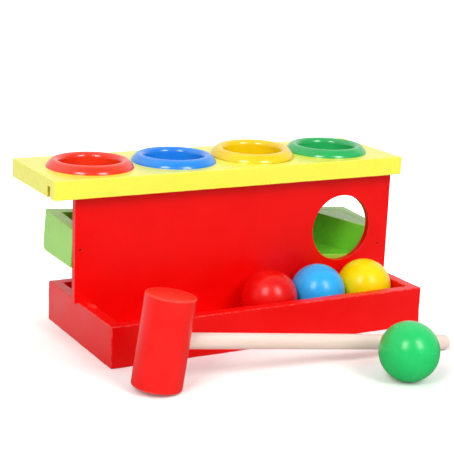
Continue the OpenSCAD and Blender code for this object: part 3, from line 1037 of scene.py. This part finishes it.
@dataclass
class Mallet:
    """The mallet: a turned head with a dowel handle that has a blunt end."""

    head_radius: float = 18.6 * MM
    head_length: float = 68 * MM
    head_edge: float = 1.2 * MM
    head_edge_steps: int = 8
    # Lean of the head towards the handle, out of square, in degrees
    head_lean: float = 0.7
    handle_radius: float = 5.9 * MM
    handle_edge: float = 2.8 * MM
    handle_edge_steps: int = 10
    handle_socket: float = 28 * MM
    handle_steps: int = 24
    handle_sides: int = 64

    def head_profile(self) -> list[Point]:
        """Shape the head.

        Returns:
            Half of the head, cut through its axis.
        """
        reach = self.head_radius - self.head_edge
        rise = self.head_length / 2 - self.head_edge
        return [
            (0.0, -self.head_length / 2),
            *arc((reach, -rise), self.head_edge, -90.0, 0.0, self.head_edge_steps),
            *arc((reach, rise), self.head_edge, 0.0, 90.0, self.head_edge_steps),
            (0.0, self.head_length / 2),
        ]

    def build(self, pivot: Vector) -> None:
        """Make the head and the handle.

        Args:
            pivot: Middle of the rounding that the handle's end rests on.
        """
        run = pivot - middle("mallet_head")
        core = self.handle_radius - self.handle_edge
        tilt = math.asin(-run.z / run.length) - math.asin(core / run.length)
        # The mallet's own frame has X along the handle and Z along the head
        frame = Matrix.Translation(middle("mallet_head")) @ Matrix.Rotation(math.atan2(run.y, run.x), 4, "Z")
        frame = frame @ Matrix.Rotation(tilt, 4, "Y")
        lean = Matrix.Rotation(math.radians(self.head_lean), 4, "Y")
        head = Turning(self.head_profile()).build("mallet_head", frame @ lean)
        # The lacquer is thin on the head's rounded edges
        rise = self.head_length / 2 - self.head_edge
        marks = [float(abs(face.center.z) > rise and len(face.vertices) > 3) for face in head.data.polygons]
        head.data.attributes.new(EASED, "FLOAT", "FACE").data.foreach_set("value", marks)
        dress(head, "mallet_head", MALLET_LACQUER, "mallet")
        reach = math.sqrt(run.length_squared - core ** 2)
        start = self.head_radius - self.handle_socket
        profile = [
            (0.0, start),
            *[(self.handle_radius, along) for along in spread(start, reach, self.handle_steps + 1)[:-1]],
            *arc((core, reach), self.handle_edge, 0.0, 90.0, self.handle_edge_steps),
            (0.0, reach + self.handle_edge),
        ]
        place = frame @ Matrix.Rotation(math.radians(90.0), 4, "Y")
        handle = Turning(profile, self.handle_sides).build("mallet_handle", place)
        dress(handle, "mallet_handle", BARE_WOOD, "mallet")


@dataclass
class Fixings:
    """The brads, whose heads are painted over, and the sunk nails."""

    trough: Trough
    brad_radius: float = 0.8 * MM
    brad_length: float = 22 * MM
    # How far a painted brad head stands out of the board
    head_rise: float = 0.06 * MM
    # Shares of a brad's radius and rise at its head's shoulder, and of a nail head's radius at its crown
    dome_radius: float = 0.6
    dome_rise: float = 0.7
    crown_radius: float = 0.8
    nail_head_radius: float = 1.3 * MM
    nail_head: float = 0.8 * MM
    nail_sunk: float = 0.6 * MM
    # Heights of the brads in the trough's corners, from the middle of its boards
    corner_low: float = -4 * MM
    corner_high: float = 8 * MM
    # Distance of the brads in the trough's floor from its front and back
    floor_edge: float = 12 * MM
    # Distances of the deflector's brads from its right end
    deflector_near: float = 10.5 * MM
    deflector_far: float = 20 * MM
    sides: int = 20

    def brad(self) -> Turning:
        """Shape a brad.

        Returns:
            The brad, driven along Z from a board's face.
        """
        radius, length = self.brad_radius, self.brad_length
        dome = (radius * self.dome_radius, -self.head_rise * self.dome_rise)
        points = [(0.0, -self.head_rise), dome, (radius, 0.0), (radius, length), (0.0, length)]
        return Turning(points, self.sides)

    def nail(self) -> Turning:
        """Shape a nail.

        Returns:
            The nail, driven along Z, with its head sunk below a board's face.
        """
        radius, head, sunk, rise = self.brad_radius, self.nail_head_radius, self.nail_sunk, self.head_rise
        neck, tip = sunk + self.nail_head, sunk + self.brad_length
        crown = [(0.0, sunk - rise), (head * self.crown_radius, sunk), (head, sunk + rise)]
        return Turning([*crown, (head, neck), (radius, neck), (radius, tip), (0.0, tip)], self.sides)

    def group(
        self, node: str, kind: Turning, drives: list[Drive], finish: Finish, frame: Matrix = Matrix(),
    ) -> None:
        """Make a group of like fixings.

        Args:
            node: The node that they stand for.
            kind: One of them.
            drives: Where each goes in, and which way.
            finish: Their finish.
            frame: The matrix from the frame of the drives to the toy's.
        """
        bm = bmesh.new()
        for spot, towards in drives:
            turn = Vector(towards).to_track_quat("Z", "Y").to_matrix().to_4x4()
            kind.add(bm, frame @ Matrix.Translation(spot) @ turn)
        dress(as_piece("finished_" + node, bm, Matrix()), node, finish)

    def build(self) -> None:
        """Make every brad and nail."""
        self.tray_brads()
        self.trough_brads()
        self.nails()

    def tray_brads(self) -> None:
        """Make the brads through the tray's front and back walls; a node's box gives the outermost ones."""
        inset = self.brad_radius
        for node, columns, rows in (("tray_corner_brads", 2, 2), ("tray_floor_brads", 3, 1)):
            low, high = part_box(node)
            drives = []
            for x in spread(low.x + inset, high.x - inset, columns):
                for z in spread(low.z + inset, high.z - inset, rows):
                    drives += [((x, low.y, z), BACKWARDS), ((x, high.y, z), FORWARDS)]
            self.group(node, self.brad(), drives, RED_PAINT)

    def trough_brads(self) -> None:
        """Make the brads through the trough's ends, and through its back into the deflector block."""
        trough = self.trough
        back_middle = trough.back - trough.wall / 2
        bed_middle = trough.low + trough.floor / 2
        depths = (trough.front + self.floor_edge, trough.back - trough.wall - self.floor_edge)
        ends = {
            "trough_corner_brads": [(back_middle, height) for height in (self.corner_low, self.corner_high)],
            "trough_floor_brads": [(depth, bed_middle) for depth in depths],
        }
        for node, spots in ends.items():
            sides = [(side, y, z) for side in (-1.0, 1.0) for y, z in spots]
            drives = [((side * trough.half, y, z), (-side, 0.0, 0.0)) for side, y, z in sides]
            self.group(node, self.brad(), drives, GREEN_PAINT, trough.frame)
        block = trough.half - trough.wall
        alongs = [block - self.deflector_near, block - self.deflector_far]
        drives = [((along, trough.back, 0.0), FORWARDS) for along in alongs]
        self.group("deflector_brads", self.brad(), drives, GREEN_PAINT, trough.frame)

    def nails(self) -> None:
        """Make the nails through the front panel and through the rear board, into the trough."""
        inset = self.nail_head_radius
        low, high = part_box("trough_nails")
        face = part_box("front_panel")[0].y
        spots = [(low.x + inset, face, high.z - inset), (high.x - inset, face, low.z + inset)]
        self.group("trough_nails", self.nail(), [(spot, BACKWARDS) for spot in spots], STEEL)
        low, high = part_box("rear_board_nails")
        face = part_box("rear_board")[1].y
        origin, slope = self.trough.frame.translation, self.trough.frame.to_euler().y
        drives = []
        for x in (low.x + inset, high.x - inset):
            for z in (low.z + inset, origin.z - (x - origin.x) * math.tan(slope)):
                drives.append(((x, face, z), FORWARDS))
        self.group("rear_board_nails", self.nail(), drives, STEEL)


@dataclass
class Studio:
    """The white floor and surroundings, two softboxes and the camera."""

    camera_place: Spot = (-0.51364, -0.90601, 0.34539)
    camera_yaw: float = 29.003
    camera_pitch: float = -14.283
    camera_roll: float = 2.373
    lens_mm: float = 105.42
    sensor_mm: float = 36.0
    clip_start: float = 0.05
    target: Spot = (0.0, -0.05, 0.05)
    lamp_distance: float = 2.4
    lamp_width: float = 0.72
    lamp_height: float = 1.2
    lamp_watts: float = 25.0
    # Directions from the toy to the two softboxes
    left_box: Spot = (-0.634, -0.444, 0.634)
    right_box: Spot = (0.176, -0.760, 0.625)
    # Light that the room sends from its walls and from overhead
    wall_light: float = 0.25
    ceiling_light: float = 0.62
    # What reflections see: white behind the toy, and this much in front of it
    front_mirrored: float = 0.22
    # Half of the turn, as a share of straight back, over which reflections go from front to back
    mirror_turn: float = 0.3
    floor_reach: float = 6.0
    floor_drop: float = 0.05 * MM
    # How much light the floor throws back at the toy, and shows in reflections
    floor_bounce: float = 0.8
    floor_mirrored: float = 0.22
    # Half of the depth over which the front turns into the back
    turn_depth: float = 0.1
    # The floor glows from this little in front of the toy to full white further away
    floor_glow: float = 0.1
    glow_centre: Spot = (-0.06, -0.15, 0.0)
    glow_near: float = 0.19
    glow_far: float = 0.36

    def build(self) -> None:
        """Set up the studio."""
        self.camera()
        self.lamp("left_softbox", Vector(self.left_box))
        self.lamp("right_softbox", Vector(self.right_box))
        self.surroundings()
        self.floor()

    def camera(self) -> None:
        """Put the camera where the photograph was taken from."""
        data = bpy.data.cameras.new("photograph_view")
        data.lens = self.lens_mm
        data.sensor_width = self.sensor_mm
        data.clip_start = self.clip_start
        eye = bpy.data.objects.new("photograph_view", data)
        bpy.context.scene.collection.objects.link(eye)
        place = Matrix.Translation(self.camera_place)
        turns = (("Z", -self.camera_yaw), ("X", 90.0 + self.camera_pitch), ("Z", self.camera_roll))
        for axis, angle in turns:
            place = place @ Matrix.Rotation(math.radians(angle), 4, axis)
        eye.matrix_world = place
        bpy.context.scene.camera = eye

    def lamp(self, name: str, direction: Vector) -> None:
        """Hang one softbox.

        Args:
            name: The lamp's name.
            direction: From the toy to the lamp.
        """
        data = bpy.data.lights.new(name, "AREA")
        data.shape = "RECTANGLE"
        data.size = self.lamp_width
        data.size_y = self.lamp_height
        data.energy = self.lamp_watts
        lamp = bpy.data.objects.new(name, data)
        bpy.context.scene.collection.objects.link(lamp)
        lamp.location = Vector(self.target) + direction.normalized() * self.lamp_distance
        lamp.rotation_euler = direction.to_track_quat("Z", "Y").to_euler()

    def surroundings(self) -> None:
        """White all round for the eye, white behind the toy for reflections, and soft light from overhead."""
        recipe = Recipe(bpy.data.worlds.new("white_room"), "Background")
        bpy.context.scene.world = recipe.owner
        way = recipe.add("ShaderNodeSeparateXYZ", {0: recipe.where["Generated"]}).outputs
        path = recipe.add("ShaderNodeLightPath").outputs
        room = recipe.remap(way["Z"], UNIT, (self.wall_light, self.ceiling_light))
        mirrored = recipe.remap(way["Y"], (-self.mirror_turn, self.mirror_turn), (self.front_mirrored, 1.0))
        bounced = recipe.sum(path["Is Glossy Ray"], path["Is Transmission Ray"])
        lit = recipe.remap(bounced, UNIT, (room, mirrored))
        recipe.set({"Color": WHITE, "Strength": recipe.remap(path["Is Camera Ray"], UNIT, (lit, 1.0))})

    def floor(self) -> None:
        """Lay the floor, which keeps the toy's shadow and fades to white further away."""
        bm = bmesh.new()
        bmesh.ops.create_grid(bm, x_segments=8, y_segments=8, size=self.floor_reach)
        drop = Matrix.Translation((0.0, 0.0, -self.floor_drop))
        floor = as_piece("floor", bm, drop)
        floor.data.materials.append(self.floor_material())

    def floor_material(self) -> Material:
        """Make the floor's white.

        Returns:
            A matt white that glows for the eye and for reflections.
        """
        recipe = Recipe(bpy.data.materials.new("white_floor"))
        path = recipe.add("ShaderNodeLightPath").outputs
        eye, mirror = path["Is Camera Ray"], path["Is Glossy Ray"]
        bounce, dim = ((level, level, level, 1.0) for level in (self.floor_bounce, self.floor_mirrored))
        spot = recipe.where["Object"]
        away = recipe.add("ShaderNodeVectorMath", {0: spot, 1: self.glow_centre}, operation="DISTANCE")
        glow = recipe.remap(away.outputs["Value"], (self.glow_near, self.glow_far), (self.floor_glow, 1.0))
        depth = recipe.add("ShaderNodeSeparateXYZ", {0: spot}).outputs["Y"]
        behind = recipe.remap(depth, (-self.turn_depth, self.turn_depth), (0.0, 1.0 - self.floor_mirrored))
        recipe.set({
            "Base Color": recipe.blend(eye, recipe.blend(mirror, bounce, dim), WHITE),
            "Roughness": 0.9,
            "Specular IOR Level": 0.0,
            "Emission Color": WHITE,
            "Emission Strength": recipe.sum(eye, recipe.times(mirror, behind), glow),
        })
        return recipe.owner


def main() -> None:
    """Build the toy's pieces, dress them and set up the studio."""
    logging.basicConfig(level=logging.INFO, format="%(message)s")
    bpy.context.scene.view_settings.view_transform = "Standard"
    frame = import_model()
    noise.seed_set(WOBBLE_SEED)
    Tray().build()
    FrontPanel().build()
    RearBoard().build()
    trough = Trough()
    trough.build()
    rings = {
        "ring_red": RED_PLASTIC,
        "ring_blue": BLUE_PLASTIC,
        "ring_yellow": YELLOW_PLASTIC,
        "ring_green": GREEN_PLASTIC,
    }
    # The yellow ring has worked up at its back right
    lifts = {"ring_yellow": 2.1}
    centres = row_centres(list(rings))
    TopBoard(centres).build()
    for (node, plastic), centre in zip(rings.items(), centres):
        Ring(node, plastic, centre, lifts.get(node, 0.0)).build()
    balls = {
        "red": (RED_LACQUER, (70.0, 20.0)),
        "blue": (BLUE_LACQUER, (-60.0, 75.0)),
        "yellow": (YELLOW_LACQUER, (20.0, 80.0)),
        "green": (GREEN_LACQUER, (75.0, -30.0)),
    }
    for colour, (lacquer, roll) in balls.items():
        Ball("ball_" + colour, colour + "_ball", lacquer, roll).build()
    pivots = {joint["name"]: joint.get("pos_m") for joint in frame["joints"]}
    Mallet().build(Vector(pivots["mallet_swing"]))
    Fixings(trough).build()
    Studio().build()


if __name__ == "__main__":
    main()
